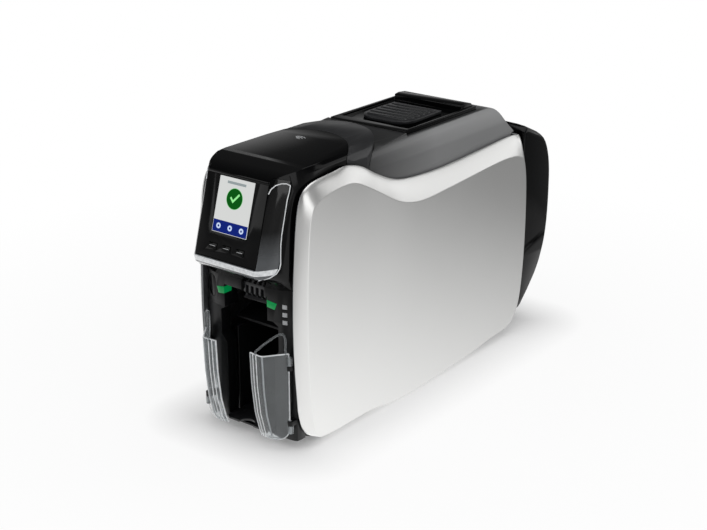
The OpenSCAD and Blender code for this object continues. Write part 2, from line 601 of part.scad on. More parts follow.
module transfer_guide() color("#35393b") centred() difference() {
  union() {
    shaft(guide_y, guide_z);
    translate([-27, -102, path_z - 3.4]) cube([54, 76, 2.4]);
    mirrored() translate([25, guide_y - 4, guide_z - 4]) cube([2, 8, 6]);
  }
  for (x = [-16, 0, 16]) translate([x - 3, -96, path_z - 10]) cube([6, 56, 20]);
}
rail_x = card_w / 2 + 0.6;
module card_rails() color("#17191a") centred() mirrored() difference() {
  union() {
    translate([rail_x, -125, path_z - 8]) cube([2.4, 255, 16]);
    bar_x(rail_x, frame_in, 3, -60, roller_z);
    bar_x(rail_x, frame_in, 3, 118, path_z);
  }
  for (s = [[eject_y, roller_z], [feed_y, roller_z], [platen_y, roller_z], [exit_y, roller_z]])
    bar_x(0, 60, roller_r + 1, s[0], s[1]);
  bar_x(0, 60, clean_r + 1, clean_y, clean_z);
  bar_x(0, 60, shaft_r + 0.5, guide_y, guide_z);
}
module spool(y) {
  bar_x(-rim_x + 0.2, rim_x - 0.2, shaft_r, y, spool_z);
  bar_x(-30, 30, 8, y, spool_z);
  for (x = [-32, 30]) bar_x(x, x + 2, 17, y, spool_z);
  bar_x(44, 50, 14, y, spool_z);
}
module supply_spool() color("#d8d9d6") centred() spool(supply_y);
module takeup_spool() color("#d8d9d6") centred() spool(takeup_y);
module ribbon_motor() color("#6f7477") centred() {
  bar_x(14, 40, 14, 118, 62);
  translate([38, 102, floor_z + 3]) cube([2, 32, 70]);
}

// ---- Electronics and rear ----

module main_board() color("#1f6a3f") centred() {
  translate([50, -45, 20]) cube([1.6, 140, 84]);
  for (s = [[-30, 40, 24, 24], [10, 60, 30, 18], [60, 34, 14, 30]])
    translate([46.5, s[0], s[1]]) cube([3.5, s[2], s[3]]);
  for (y = [-42, 88]) for (z = [24, 96]) translate([51.6, y, z]) rotate([0, 90, 0]) cylinder(h = frame_in - 51.6, r = 3);
}
fan_y = 160; fan_z = 165; fan_r = 19;
module fan_frame() color("#1a1b1c") centred() translate([0, fan_y, fan_z]) rotate([90, 0, 0]) {
  difference() {
    translate([-21, -21, -6]) cube([42, 42, 10]);
    translate([0, 0, -8]) cylinder(h = 14, r = fan_r);
  }
  translate([0, 0, -6]) cylinder(h = 1.5, r = 8);
  for (a = [0:120:240]) rotate(a) translate([0, -1.5, -6]) cube([fan_r + 1, 3, 1.5]);
  mirrored() translate([21, -4, -6]) cube([frame_in - 21, 8, 2]);
}
module fan_rotor() color("#2a2c2e") centred() translate([0, fan_y, fan_z]) rotate([90, 0, 0]) {
  translate([0, 0, -4]) cylinder(h = 7, r = 8);
  for (a = [0:51.4:359]) rotate(a) translate([6, -0.8, -3]) rotate([28, 0, 0]) cube([12, 1.2, 5.5]);
}
module reject_bin() color("#17191a") centred() difference() {
  translate([-32, 134, 84]) cube([64, 48, 34]);
  translate([-30, 130, 86]) cube([60, 50, 40]);
}

// Side outline of the rear hood where its flat side ends, and the rings that round it off
hood_back = loop_spline([[187, 236], [200, 232.5], [217, 226.3], [229.5, 218], [236, 208.6], [241, 194.8],
  [243.6, 179.8], [244.5, 161.7], [244.5, 142.1], [243.2, 117.7], [239.8, 97.1], [234.4, 82], [226, 64.5],
  [215.5, 49.4], [202, 33.4], [188, 22], [186.5, 60], [186.5, 120], [186.5, 190]], 2);
rear_x = 65.5;
rear_rings = [[rear_x, 3], [65.2, 1], [64.3, -1], [62.8, -2.6], [60, -4], [50, -5], [20, -6]];
module rear_shape(g) intersection() {
  hull() for (r = rear_rings)
    side_slab([for (p = inset(hood_back, g + r[1])) [max(p[0], 186.2), p[1]]], -r[0] + g, r[0] - g);
  front_slab(mirror_x([[0, 290], [80, 290], [80, 91], [rear_x + 0.4 - g, 91], [60 - g, 24], [55 - g, 5]]), 100, 300);
}
// Finger grip in the side, deepest at the ledge below it
module rear_grip(g) mirrored() hull() {
  front_slab([[rear_x + 2, 166.5 + g], [rear_x + 2, 89 - g], [rear_x - 3.2 - g, 89.5 - g]], 180, 181);
  front_slab([[rear_x + 2, 165 + g], [rear_x + 2, 105 - g], [rear_x - g, 105.5 - g]], 242, 242.5);
}
port_zone = [[-41, 41], [48, 86]];
port_z = 67;
module rear_hood() color("#121416") centred() difference() {
  rear_shape(0);
  rear_grip(0);
  difference() {
    rear_shape(cover_wall);
    rear_grip(cover_wall);
    translate([-44, 208, port_zone[1][0] - 6]) cube([88, 60, 48]);
  }
  translate([-53, 184, 30]) cube([106, 8, 180]);
  translate([port_zone[0][0], 212, port_zone[1][0]]) cube([82, 60, 38]);
  translate([port_zone[0][0] + 4, 200, port_zone[1][0] + 4]) cube([74, 60, 30]);
  // Air slots in front of the fan
  for (i = [0:6]) translate([-22, 225, 140 + i * 7]) cube([44, 40, 3]);
}
module connector_plate() color("#54585a") centred() difference() {
  translate([port_zone[0][0] + 0.3, 212.2, port_zone[1][0] + 0.3]) cube([81.4, 1.8, 37.4]);
  translate([-27, 200, port_z]) rotate([-90, 0, 0]) cylinder(h = 30, r = 5.6);
  translate([-8.2, 200, port_z - 6.2]) cube([12.4, 30, 11.4]);
  translate([12.8, 200, port_z - 7.2]) cube([16.4, 30, 14.4]);
  translate([35, 200, port_z - 4]) cube([3, 30, 7]);
}
module power_inlet() color("#101112") centred() translate([-27, 214.8, port_z]) rotate([90, 0, 0]) difference() {
  cylinder(h = 14, r = 5.5);
  translate([0, 0, -1]) cylinder(h = 11, r = 3.2);
}
module usb_port() color("#a9adb0") centred() difference() {
  translate([-8, 200, port_z - 6]) cube([12, 14.8, 11]);
  translate([-6.3, 204, port_z - 4.5]) cube([8.6, 20, 8]);
}
module network_port() color("#a9adb0") centred() difference() {
  translate([13, 198, port_z - 7]) cube([16, 16.8, 14]);
  translate([15, 203, port_z - 5.5]) cube([12, 20, 9]);
}

base_tray();
rubber_feet();
base_screws();
inner_frame_left();
inner_frame_right();
side_panel_left();
side_panel_right();
front_housing();
front_hood();
display_surround();
display_glass();
display_screen();
key_left();
key_middle();
key_right();
display_board();
power_button();
indicator_left();
indicator_right();
status_marks();
card_slot_guide();
hopper_door_left();
hopper_door_right();
hopper_door_pins();
card_hopper();
output_tray();
card_lift_plate();
cover_collar();
top_cover();
cover_deck();
cover_release();
latch_hook();
latch_bar();
cover_hinge_pin();
printhead_bracket();
printhead();
pick_roller();
eject_roller();
feed_roller();
platen_roller();
exit_roller();
cleaning_roller();
feed_belt();
motor_belt();
feed_motor();
motor_pulley();
transfer_guide();
card_rails();
supply_spool();
takeup_spool();
ribbon_motor();
main_board();
fan_frame();
fan_rotor();
reject_bin();
rear_hood();
connector_plate();
power_inlet();
usb_port();
network_port();
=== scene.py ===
# %% [markdown]
# # A desktop card printer
# The printer is a narrow office machine: two silver side panels hold a black case between them, and the
# case has a small colour screen, two clear doors and a lid that opens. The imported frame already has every
# piece at its true size, so this notebook only has to make the pieces look moulded, painted and clear.
# Loading the frame first matters, because each new piece is fitted to it and rides on one of its bodies.

# %% Load the frame
import json
import math

import bmesh
import bpy
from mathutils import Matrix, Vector


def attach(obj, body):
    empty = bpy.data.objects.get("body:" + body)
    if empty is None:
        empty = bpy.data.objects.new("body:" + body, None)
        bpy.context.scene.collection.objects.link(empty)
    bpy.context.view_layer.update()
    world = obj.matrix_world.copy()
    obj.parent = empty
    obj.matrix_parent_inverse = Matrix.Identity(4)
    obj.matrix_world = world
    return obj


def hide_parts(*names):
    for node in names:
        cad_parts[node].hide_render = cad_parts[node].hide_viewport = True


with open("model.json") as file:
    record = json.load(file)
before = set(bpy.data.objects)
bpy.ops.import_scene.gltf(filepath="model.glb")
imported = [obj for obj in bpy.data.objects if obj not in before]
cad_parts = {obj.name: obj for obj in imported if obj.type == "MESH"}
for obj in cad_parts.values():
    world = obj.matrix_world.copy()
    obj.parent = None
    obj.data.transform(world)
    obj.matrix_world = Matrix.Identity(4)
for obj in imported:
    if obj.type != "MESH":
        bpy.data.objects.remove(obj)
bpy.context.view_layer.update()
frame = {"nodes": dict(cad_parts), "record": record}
bodies = {n: body for body, members in frame["record"]["behaviour"]["bodies"].items() for n in members}
slots = {row["node"]: row["material_slot"] for row in frame["record"]["subparts"]}
MM = 0.001

# %% [markdown]
# ## The camera
# The photograph was taken from the front right and a little above. Its place was solved from the picture,
# so it is written here as numbers. A long lens keeps the upright edges nearly parallel. The camera looks
# along a direction vector, and to_track_quat turns that into a rotation.

# %% Place the camera
lens = bpy.data.cameras.new("photo_camera")
lens.lens = 73.24
lens.sensor_width = 36
camera = bpy.data.objects.new("photo_camera", lens)
bpy.context.scene.collection.objects.link(camera)
camera.location = (0.8683, -1.1609, 0.6684)
turn, dip = math.radians(37.9436), math.radians(20.8233)
view = Vector((-math.sin(turn) * math.cos(dip), math.cos(turn) * math.cos(dip), -math.sin(dip)))
camera.rotation_mode = "QUATERNION"
camera.rotation_quaternion = view.to_track_quat("-Z", "Y")
bpy.context.scene.camera = camera
print("camera looks along", [round(c, 3) for c in view])

# %% [markdown]
# ## Shared surface effects
# Real plastic and paint are never one flat colour. A fine grain from the mould breaks up the highlight,
# and wide soft clouds change the gloss a little where hands and cloths have been. Both effects appear in
# many finishes, so they live in one node group with named inputs, and each material sets its own values.
# Object coordinates keep the pattern still while a piece moves with its body.

# %% Build the moulded surface group
def group_with(name, inputs, outputs):
    """An empty shader group with float sockets, plus its two end nodes."""
    group = bpy.data.node_groups.new(name, "ShaderNodeTree")
    for label, value in inputs.items():
        socket = group.interface.new_socket(label, in_out="INPUT", socket_type="NodeSocketFloat")
        socket.default_value = value
    for label in outputs:
        group.interface.new_socket(label, in_out="OUTPUT", socket_type="NodeSocketFloat")
    return group, group.nodes.new("NodeGroupInput"), group.nodes.new("NodeGroupOutput")


def add(tree, kind, **values):
    """A node of that kind, with its fields or input values set by name."""
    node = tree.nodes.new(kind)
    for key, value in values.items():
        if hasattr(node, key):
            setattr(node, key, value)
        else:
            node.inputs[key.replace("_", " ")].default_value = value
    return node


surface, start, end = group_with(
    "Moulded surface", {"Grain scale": 1500.0, "Cloud scale": 14.0}, ["Grain", "Cloud"])
place = add(surface, "ShaderNodeTexCoord")
grain = add(surface, "ShaderNodeTexNoise", Detail=2.0, Roughness=0.6)
cloud = add(surface, "ShaderNodeTexNoise", Detail=4.0, Roughness=0.55)
for texture, scale in ((grain, "Grain scale"), (cloud, "Cloud scale")):
    surface.links.new(place.outputs["Object"], texture.inputs["Vector"])
    surface.links.new(start.outputs[scale], texture.inputs["Scale"])
surface.links.new(grain.outputs["Fac"], end.inputs["Grain"])
surface.links.new(cloud.outputs["Fac"], end.inputs["Cloud"])
print("group", surface.name, [s.name for s in surface.interface.items_tree])

# %% [markdown]
# Drawn metal shows fine parallel lines along its length. Nearly all pins and shafts here lie along X, so a
# Mapping node squeezes the noise across the other two axes and leaves it long in that one.

# %% Build the drawn metal group
drawn, start, end = group_with("Drawn metal", {"Line scale": 60.0}, ["Lines"])
place = add(drawn, "ShaderNodeTexCoord")
squeeze = add(drawn, "ShaderNodeMapping")
squeeze.inputs["Scale"].default_value = (1.0, 30.0, 30.0)
lines = add(drawn, "ShaderNodeTexNoise", Detail=3.0)
drawn.links.new(place.outputs["Object"], squeeze.inputs["Vector"])
drawn.links.new(squeeze.outputs["Vector"], lines.inputs["Vector"])
drawn.links.new(start.outputs["Line scale"], lines.inputs["Scale"])
drawn.links.new(lines.outputs["Fac"], end.inputs["Lines"])
print("group", drawn.name)


# %% [markdown]
# ## Finishes
# Every finish follows one plan: two close tones mixed by the clouds, a roughness that wanders a little
# with them, and a bump from the grain. What is the same all over, such as the index of refraction, is set
# on the shader itself.

# %% Write the finish maker
def finish(name, colour, rough, metal=0.0, tone=0.06, wander=0.05, grain_scale=1500.0, bump=0.08,
           cloud_scale=14.0, **shader_values):
    """A moulded or painted finish with clouded tone and gloss and a fine grain."""
    material = bpy.data.materials.new(name)
    material.use_nodes = True
    tree = material.node_tree
    shader = tree.nodes["Principled BSDF"]
    effect = add(tree, "ShaderNodeGroup", node_tree=surface)
    effect.inputs["Grain scale"].default_value = grain_scale
    effect.inputs["Cloud scale"].default_value = cloud_scale
    mix = add(tree, "ShaderNodeMix", data_type="RGBA")
    mix.inputs["A"].default_value = (*[c * (1 - tone) for c in colour], 1)
    mix.inputs["B"].default_value = (*[min(c * (1 + tone), 1) for c in colour], 1)
    tree.links.new(effect.outputs["Cloud"], mix.inputs["Factor"])
    tree.links.new(mix.outputs["Result"], shader.inputs["Base Color"])
    gloss = add(tree, "ShaderNodeMapRange", To_Min=max(rough - wander, 0.02), To_Max=rough + wander)
    tree.links.new(effect.outputs["Cloud"], gloss.inputs["Value"])
    tree.links.new(gloss.outputs["Result"], shader.inputs["Roughness"])
    relief = add(tree, "ShaderNodeBump", Strength=bump, Distance=0.0002)
    tree.links.new(effect.outputs["Grain"], relief.inputs["Height"])
    tree.links.new(relief.outputs["Normal"], shader.inputs["Normal"])
    shader.inputs["Metallic"].default_value = metal
    for key, value in shader_values.items():
        shader.inputs[key.replace("_", " ")].default_value = value
    return material


materials = {
    "silver_paint": finish("silver_paint", (0.70, 0.70, 0.69), 0.30, metal=0.8, tone=0.015, wander=0.02,
                           grain_scale=4000.0, bump=0.03),
    "gloss_black": finish("gloss_black", (0.0015, 0.0016, 0.0018), 0.10, wander=0.03, bump=0.01,
                          Specular_IOR_Level=0.16),
    "satin_black": finish("satin_black", (0.004, 0.0042, 0.0045), 0.36, bump=0.12, Specular_IOR_Level=0.2),
    "dark_grey": finish("dark_grey", (0.016, 0.0165, 0.018), 0.32, bump=0.06, Specular_IOR_Level=0.4),
    # The green lenses glow faintly by their emission, standing in for their lit indicators and for the
    # glints on them.
    "green_lens": finish("green_lens", (0.0, 0.14, 0.03), 0.12, tone=0.9, cloud_scale=180.0, bump=0.02,
                         Specular_IOR_Level=0.25, Emission_Strength=0.16,
                         Emission_Color=(0.0, 0.8, 0.2, 1)),
    "white_mark": finish("white_mark", (0.42, 0.43, 0.44), 0.5),
    "cover_satin": finish("cover_satin", (0.19, 0.192, 0.194), 0.38, bump=0.10, Specular_IOR_Level=0.6),
    "rubber": finish("rubber", (0.016, 0.0165, 0.017), 0.7, bump=0.3, grain_scale=900.0, IOR=1.4),
    "zinc": finish("zinc", (0.30, 0.31, 0.32), 0.42, metal=0.9, tone=0.12, cloud_scale=60.0),
    "spool_white": finish("spool_white", (0.72, 0.72, 0.69), 0.45),
    "blue_roller": finish("blue_roller", (0.03, 0.14, 0.45), 0.55, bump=0.2, grain_scale=700.0),
    "motor_metal": finish("motor_metal", (0.36, 0.37, 0.38), 0.35, metal=1.0, tone=0.08),
}
print(len(materials), "finishes from the first maker")

# %% [markdown]
# ### Clear plastic
# The two doors and the screen's surround are clear mouldings. Transmission carries light through them,
# and a tint keeps them grey, as thick plastic is. The surround's colour is painted to fade from clear at its
# foot to nearly black at its top, a painted reflection, and a Map Range on the height gives that change.
# Edges of clear plastic gather light, so thin tubes along them stand for those bright lines; their finish
# glows a little, a painted highlight. Metallic and Transmission stay plain numbers.

# %% Make the clear finishes
materials["clear"] = finish("clear", (0.42, 0.44, 0.45), 0.10, tone=0.04, wander=0.03, bump=0.01,
                            IOR=1.3, Transmission_Weight=0.8)
# The edge finish glows by itself: a painted highlight for the bright lines along clear edges.
materials["clear_edge"] = finish("clear_edge", (0.62, 0.64, 0.65), 0.16, tone=0.6, cloud_scale=260.0,
                                 bump=0.02, Emission_Strength=0.16, Emission_Color=(0.9, 0.95, 1, 1))
smoke = finish("clear_smoke", (0.10, 0.105, 0.11), 0.06, wander=0.02, bump=0.01,
               Specular_IOR_Level=0.2, Transmission_Weight=0.5)
# Painted reflection: the Mix below runs from light grey at the foot of the surround to nearly black at its
# top.
fade_foot, fade_top = 0.200, 0.227
tree = smoke.node_tree
place = add(tree, "ShaderNodeTexCoord")
parts = add(tree, "ShaderNodeSeparateXYZ")
fade = add(tree, "ShaderNodeMapRange", From_Min=fade_foot, From_Max=fade_top, To_Min=0.0, To_Max=1.0)
reflection_fade = add(tree, "ShaderNodeMix", data_type="RGBA")
reflection_fade.inputs["A"].default_value = (0.17, 0.18, 0.19, 1)
reflection_fade.inputs["B"].default_value = (0.003, 0.003, 0.0035, 1)
tree.links.new(place.outputs["Object"], parts.inputs[0])
tree.links.new(parts.outputs["Z"], fade.inputs["Value"])
tree.links.new(fade.outputs["Result"], reflection_fade.inputs["Factor"])
tree.links.new(reflection_fade.outputs["Result"], tree.nodes["Principled BSDF"].inputs["Base Color"])
materials["clear_smoke"] = smoke
print("clear finishes ready")

# %% [markdown]
# ### The top cover
# The top cover is satin. In the photograph its sides reflect a bright room and look grey, and towards the
# hood and on top they reflect darkness and look nearly black. That change is painted on here: the depth
# and the height of a point pick between the two tones through two Map Ranges. Painting it was simpler than
# building the room that gives it, but a painted tone stays the same when the cover opens.

# %% Fade the cover's tone
tree = materials["cover_satin"].node_tree
place = add(tree, "ShaderNodeTexCoord")
parts = add(tree, "ShaderNodeSeparateXYZ")
dark_until, grey_from = -0.105, 0.02
roof, below_roof = 0.2752, 0.2735
rearward = add(tree, "ShaderNodeMapRange", From_Min=dark_until, From_Max=grey_from, To_Min=0.0, To_Max=1.0)
downward = add(tree, "ShaderNodeMapRange", From_Min=roof, From_Max=below_roof, To_Min=0.0, To_Max=1.0)
both = add(tree, "ShaderNodeMath", operation="MULTIPLY")
tone = add(tree, "ShaderNodeMix", data_type="RGBA")
tone.inputs["A"].default_value = (0.012, 0.0125, 0.013, 1)
old = next(link for link in tree.links if link.to_socket.name == "Base Color")
tree.links.new(old.from_socket, tone.inputs["B"])
tree.links.new(place.outputs["Object"], parts.inputs[0])
tree.links.new(parts.outputs["Y"], rearward.inputs["Value"])
tree.links.new(parts.outputs["Z"], downward.inputs["Value"])
tree.links.new(rearward.outputs["Result"], both.inputs[0])
tree.links.new(downward.outputs["Result"], both.inputs[1])
tree.links.new(both.outputs[0], tone.inputs["Factor"])
tree.links.new(tone.outputs["Result"], tree.nodes["Principled BSDF"].inputs["Base Color"])
print("cover tone fades")

# %% [markdown]
# ### Drawn steel and the circuit board
# Shafts, pins and sockets are drawn steel, with the lines of the second group in their gloss. The circuit
# boards are green lacquer over copper: a brick pattern with thin joints stands for the tracks.

# %% Make steel and board
steel = finish("steel", (0.52, 0.53, 0.54), 0.3, metal=1.0, tone=0.05)
tree = steel.node_tree
lines = add(tree, "ShaderNodeGroup", node_tree=drawn)
gloss = add(tree, "ShaderNodeMapRange", To_Min=0.2, To_Max=0.42)
tree.links.new(lines.outputs["Lines"], gloss.inputs["Value"])
tree.links.new(gloss.outputs["Result"], tree.nodes["Principled BSDF"].inputs["Roughness"])
materials["steel"] = steel

board = finish("board", (0.015, 0.11, 0.05), 0.35)
tree = board.node_tree
place = add(tree, "ShaderNodeTexCoord")
tracks = add(tree, "ShaderNodeTexBrick", Scale=240.0, Mortar_Size=0.06)
tracks.inputs["Color1"].default_value = (0.012, 0.10, 0.045, 1)
tracks.inputs["Color2"].default_value = (0.016, 0.12, 0.055, 1)
tracks.inputs["Mortar"].default_value = (0.05, 0.22, 0.09, 1)
tree.links.new(place.outputs["Object"], tracks.inputs["Vector"])
tree.links.new(tracks.outputs["Color"], tree.nodes["Principled BSDF"].inputs["Base Color"])
materials["board"] = board
print("steel and board ready")


# %% [markdown]
# ### Lit colours of the screen
# The screen glows evenly. Its page and signs are thin plates on the glass, and each takes a glowing
# colour with the same soft clouding as the other finishes, so that none of them is perfectly flat.

# %% Make the glowing finishes
def glow(name, colour, strength):
    """A lit finish: dark base, coloured emission with a slight unevenness."""
    material = finish(name, [c * 0.1 for c in colour], 0.4, Specular_IOR_Level=0.05)
    tree = material.node_tree
    shader = tree.nodes["Principled BSDF"]
    uneven = add(tree, "ShaderNodeMix", data_type="RGBA")
    uneven.inputs["A"].default_value = (*[c * 0.94 for c in colour], 1)
    uneven.inputs["B"].default_value = (*colour, 1)
    effect = next(n for n in tree.nodes if n.type == "GROUP")
    tree.links.new(effect.outputs["Cloud"], uneven.inputs["Factor"])
    tree.links.new(uneven.outputs["Result"], shader.inputs["Emission Color"])
    shader.inputs["Emission Strength"].default_value = strength
    return material


screen_colours = {
    "screen": (0.64, 0.65, 0.64), "screen_blue": (0.003, 0.014, 0.17), "screen_green": (0.0, 0.085, 0.004),
    "screen_tick": (0.30, 0.85, 0.30), "screen_ring": (0.10, 0.55, 0.12),
    "screen_white": (0.55, 0.66, 0.88), "screen_grey": (0.28, 0.32, 0.33)}
for name, colour in screen_colours.items():
    materials[name] = glow(name, colour, 1.0)
print("glowing finishes", list(screen_colours))

# %% [markdown]
# ## Every frame piece gets its finish
# The frame's own meshes stay as they are. Only the material in each slot changes, by the slot name that
# the record gives the piece, so nothing is ever left in a flat grey.

# %% Assign finishes to the frame
for name, node in frame["nodes"].items():
    for slot in node.material_slots:
        slot.material = materials[slots[name]]
    if not node.material_slots:
        node.data.materials.append(materials[slots[name]])
print("finishes on", len(frame["nodes"]), "frame pieces")


# %% [markdown]
# ## Moulded edges
# No moulded or machined part has a knife edge, and the thin bright line along a rounded edge is what
# makes it look real. A merged copy of a piece is cleaned to its true flat faces, then bmesh bevels every
# sharp edge by a few tenths of a millimetre. Curved faces keep their small facets but are shaded smooth.

# %% Write the helpers for pieces
def publish(name, bm, material, body, replaced=(), smooth=35.0):
    """Turns a finished bmesh into an object that rides on a body."""
    mesh = bpy.data.meshes.new(name)
    bm.to_mesh(mesh)
    bm.free()
    mesh.shade_smooth()
    mesh.set_sharp_from_angle(angle=math.radians(smooth))
    mesh.materials.append(materials[material])
    piece = bpy.data.objects.new(name, mesh)
    bpy.context.scene.collection.objects.link(piece)
    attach(piece, body)
    if replaced:
        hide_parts(*replaced)
    return piece


weld, flat_angle = 0.000004, math.radians(0.8)


def merged_copy(node):
    """The node's mesh as a clean bmesh with its flat faces whole."""
    bm = bmesh.new()
    bm.from_mesh(frame["nodes"][node].data)
    bmesh.ops.remove_doubles(bm, verts=bm.verts, dist=weld)
    bmesh.ops.dissolve_limit(bm, angle_limit=flat_angle, verts=bm.verts, edges=bm.edges)
    return bm


def round_edges(bm, width, angle=32.0, segments=2):
    """Bevels every edge that is sharper than the angle."""
    sharp = [e for e in bm.edges if len(e.link_faces) == 2 and e.calc_face_angle(0) > math.radians(angle)
             and e.calc_length() > width * MM * 0.8]
    bmesh.ops.bevel(bm, geom=sharp, offset=width * MM, offset_type="OFFSET", segments=segments, profile=0.5,
                    affect="EDGES", clamp_overlap=True, material=-1)


def dress(node, width, material=None):
    """A soft-edged copy of a node, which stands for it."""
    bm = merged_copy(node)
    round_edges(bm, width)
    return publish(node + "_moulded", bm, material or slots[node], bodies[node], [node])


print("corners closer than", weld, "m are merged")

# %% [markdown]
# Most pieces are plain mouldings, turned shafts or folded sheet. Their edge radius depends on how they
# are made: about half a millimetre on covers, less on small keys, and only a trace on folded metal.

# %% Dress the plain pieces
edge_radius = {
    "base_tray": 0.5, "rubber_feet": 0.8, "base_screws": 0.2, "front_housing": 0.5, "display_glass": 0.3,
    "key_left": 0.3, "key_middle": 0.3, "key_right": 0.3, "power_button": 0.4, "indicator_left": 0.3,
    "indicator_right": 0.3, "status_marks": 0.2, "card_slot_guide": 0.4, "card_hopper": 0.4,
    "output_tray": 0.3, "card_lift_plate": 0.5, "cover_collar": 0.8, "top_cover": 0.6, "cover_deck": 0.6,
    "cover_release": 0.5, "latch_hook": 0.3, "printhead_bracket": 0.3, "printhead": 0.3,
    "transfer_guide": 0.3, "card_rails": 0.3, "supply_spool": 0.5, "takeup_spool": 0.5,
    "feed_motor": 0.3, "ribbon_motor": 0.3, "fan_frame": 0.3, "fan_rotor": 0.15, "reject_bin": 0.4,
    "rear_hood": 0.8, "connector_plate": 0.3, "power_inlet": 0.3, "usb_port": 0.2, "network_port": 0.2}
own_finish = {"top_cover": "cover_satin"}
dressed = {node: dress(node, width, own_finish.get(node)) for node, width in edge_radius.items()}
print("dressed", len(dressed), "pieces,", sum(len(p.data.polygons) for p in dressed.values()), "faces")

# %% [markdown]
# ## The silver side panels
# Each side panel is one shell: a nearly flat face that rises a little from its front to its middle, and a
# broad flat bevel that leaves it at a soft crease and rolls down to the rim. Two outlines with matching
# points draw it, in millimetres. A spline makes each outline smooth, and a loft extrudes one ring after
# another from the middle of the face out over the bevel and back along the inside, so the shell closes on
# itself. The outlines were measured from the panels' own middle, so case_mid moves them to the frame's
# origin.

# %% Draw the two outlines of a panel
rim_points = [
    (-203, 34), (-206, 60), (-209, 100), (-209.5, 146), (-206.5, 205), (-200, 250), (-186, 266.5),
    (-149, 271), (-128, 272), (-105, 265.5), (-82, 253), (-52, 240), (-20, 234.5), (35, 232.5),
    (112, 235), (153, 236.5), (176, 235), (184, 227), (185, 170), (185.3, 110), (181, 58),
    (173.5, 27), (157, 12), (116, 8.6), (58, 4), (-50, 1.2), (-102, 5), (-170, 6), (-193, 14)]
face_points = [
    (-194, 38), (-197, 62), (-199, 100), (-199.5, 146), (-197.5, 200), (-193, 237), (-181, 252),
    (-150, 257.5), (-127, 256), (-107, 247), (-85, 235), (-55, 219), (-20, 211.5), (32, 213),
    (110, 217), (148, 217), (170, 212.5), (180, 202), (184.8, 168), (185.6, 110), (181.8, 58),
    (174, 29), (157, 14), (116, 10.2), (58, 5.3), (-50, 2), (-102, 6.6), (-168, 7.3), (-188, 13.5)]
rim_x, face_out, swell_out, panel_wall = 59.2, 9.6, 2.8, 2.4
case_mid = 5.5


def closed_spline(points, steps):
    """A smooth closed line through the points."""
    points, count, line = [Vector(p) for p in points], len(points), []
    for i in range(count):
        a, b, c, d = (points[(i + k) % count] for k in (-1, 0, 1, 2))
        for k in range(steps):
            t = k / steps
            line.append(0.5 * (2 * b + (c - a) * t + (2 * a - 5 * b + 4 * c - d) * t * t
                               + (3 * b - a - 3 * c + d) * t ** 3))
    return line


def drawn_in(line, distance):
    """The same clockwise outline, moved inwards."""
    moved = []
    for i, p in enumerate(line):
        along = (line[(i + 1) % len(line)] - line[i - 1]).normalized()
        moved.append(p + distance * Vector((along.y, -along.x)))
    return moved


rim_line, face_line = closed_spline(rim_points, 7), closed_spline(face_points, 7)
print("panel outlines have", len(rim_line), "points")


# %% [markdown]
# The loft helper starts from one ring of vertices and calls the extrude operator once for each further
# ring. An integer layer remembers which point of the ring each vertex is, because extruding copies it.

# %% Write the loft helper
def loft(rings):
    """A closed skin over rings of equal length."""
    bm = bmesh.new()
    tag = bm.verts.layers.int.new("place")
    ring = [bm.verts.new(p) for p in rings[0]]
    for i, vert in enumerate(ring):
        vert[tag] = i
    edges = [bm.edges.new((ring[i - 1], ring[i])) for i in range(len(ring))]
    bm.faces.new(ring)
    for points in rings[1:]:
        made = bmesh.ops.extrude_edge_only(bm, edges=edges)["geom"]
        fresh = {g for g in made if isinstance(g, bmesh.types.BMVert)}
        for vert in fresh:
            vert.co = points[vert[tag]]
        edges = [g for g in made if isinstance(g, bmesh.types.BMEdge) and set(g.verts) <= fresh]
    bm.faces.new(sorted(fresh, key=lambda v: v[tag]))
    bmesh.ops.recalc_face_normals(bm, faces=bm.faces)
    return bm


print("loft helper ready")

# %% [markdown]
# The rings of a panel start as a tiny copy of the face outline in its middle and grow up to that outline, so
# that the face has points to swell with. From there they step over the bevel to the rim, closer together
# where it rolls down. The same rings then run back inside, one wall further in. The left panel is the right
# one with X turned round, and the loft helper sets its normals right.

# %% Build the side panels
swell_from, swell_to, rear_length = -125, -30, 215
face_middle = Vector((-20, 110))


def panel_rings():
    """Rings from the middle of the face, over the bevel and back inside."""
    def eased(t):
        t = min(1.0, max(0.0, t))
        return t * t * (3 - 2 * t)

    def face_at(y):
        rise = swell_out * eased((y - swell_from) / (swell_to - swell_from))
        return rim_x + face_out + rise - eased((y - swell_to) / rear_length)

    def face_ring(scale, wall):
        points = [face_middle + scale * (p - face_middle) for p in drawn_in(face_line, wall)]
        return [Vector((face_at(p.x) - wall, p.x - case_mid, p.y)) * MM for p in points]

    def bevel_ring(step, wall):
        ring = []
        for r, f in zip(drawn_in(rim_line, wall), drawn_in(face_line, wall)):
            p = f + step * (r - f)
            out = rim_x + (1 - step) ** 0.7 * (face_at(p.x) - wall - rim_x)
            ring.append(Vector((out, p.x - case_mid, p.y)) * MM)
        return ring

    scales = [0.02, 0.1, 0.22, 0.36, 0.5, 0.64, 0.78, 0.9, 0.97, 0.993, 1.0]
    steps = [0.04, 0.2, 0.36, 0.52, 0.66, 0.78, 0.88, 0.95, 0.985, 1.0]
    return ([face_ring(s, 0) for s in scales] + [bevel_ring(t, 0) for t in steps]
            + [bevel_ring(t, panel_wall) for t in reversed(steps)]
            + [face_ring(s, panel_wall) for s in reversed(scales)])


for side, name in ((1, "side_panel_right"), (-1, "side_panel_left")):
    bm = loft([[Vector((side * p.x, p.y, p.z)) for p in ring] for ring in panel_rings()])
    panel = publish(name + "_shell", bm, "silver_paint", bodies[name], [name], smooth=50)
    print(panel.name, len(panel.data.polygons), "faces")

# %% [markdown]
# ## The front hood, its surround and the doors
# The hood and its surround are smooth shells in the frame already, made of many small faces. A merged
# copy with smooth shading turns the facets into one surface, and only true corners stay sharp.

# %% Smooth the shells
for node in ("front_hood", "display_surround"):
    shell = publish(node + "_shell", merged_copy(node), slots[node], bodies[node], [node], smooth=38)
    print(shell.name, len(shell.data.polygons), "faces")
